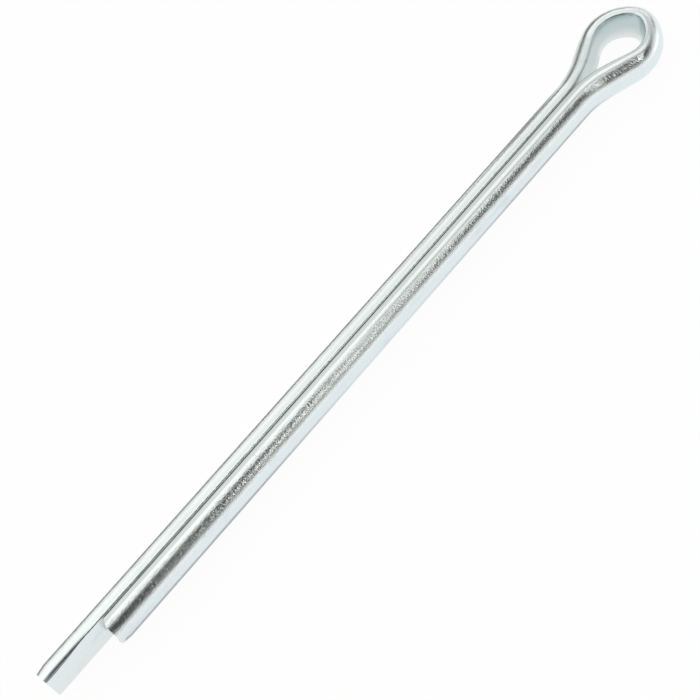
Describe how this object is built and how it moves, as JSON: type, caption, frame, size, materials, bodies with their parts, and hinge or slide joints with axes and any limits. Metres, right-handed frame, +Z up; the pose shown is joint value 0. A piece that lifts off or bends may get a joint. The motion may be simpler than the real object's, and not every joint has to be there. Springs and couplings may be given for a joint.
{
  "type": "split pin",
  "caption": "Split pin of folded half-round steel wire with a teardrop eye and legs of unequal length, for locking castle nuts and clevis pins.",
  "frame": {"origin": "on the shank's axis, where the two legs begin to part towards the eye", "axes": "+X along the shank from the leg tips to the eye, +Y towards the long leg, +Z up along the axis of the eye"},
  "size_m": [0.1227, 0.0112, 0.0056],
  "materials": {
    "wire": "bright zinc plate"
  },
  "bodies": {
    "root": {"split_pin": "wire"}
  },
  "joints": []
}
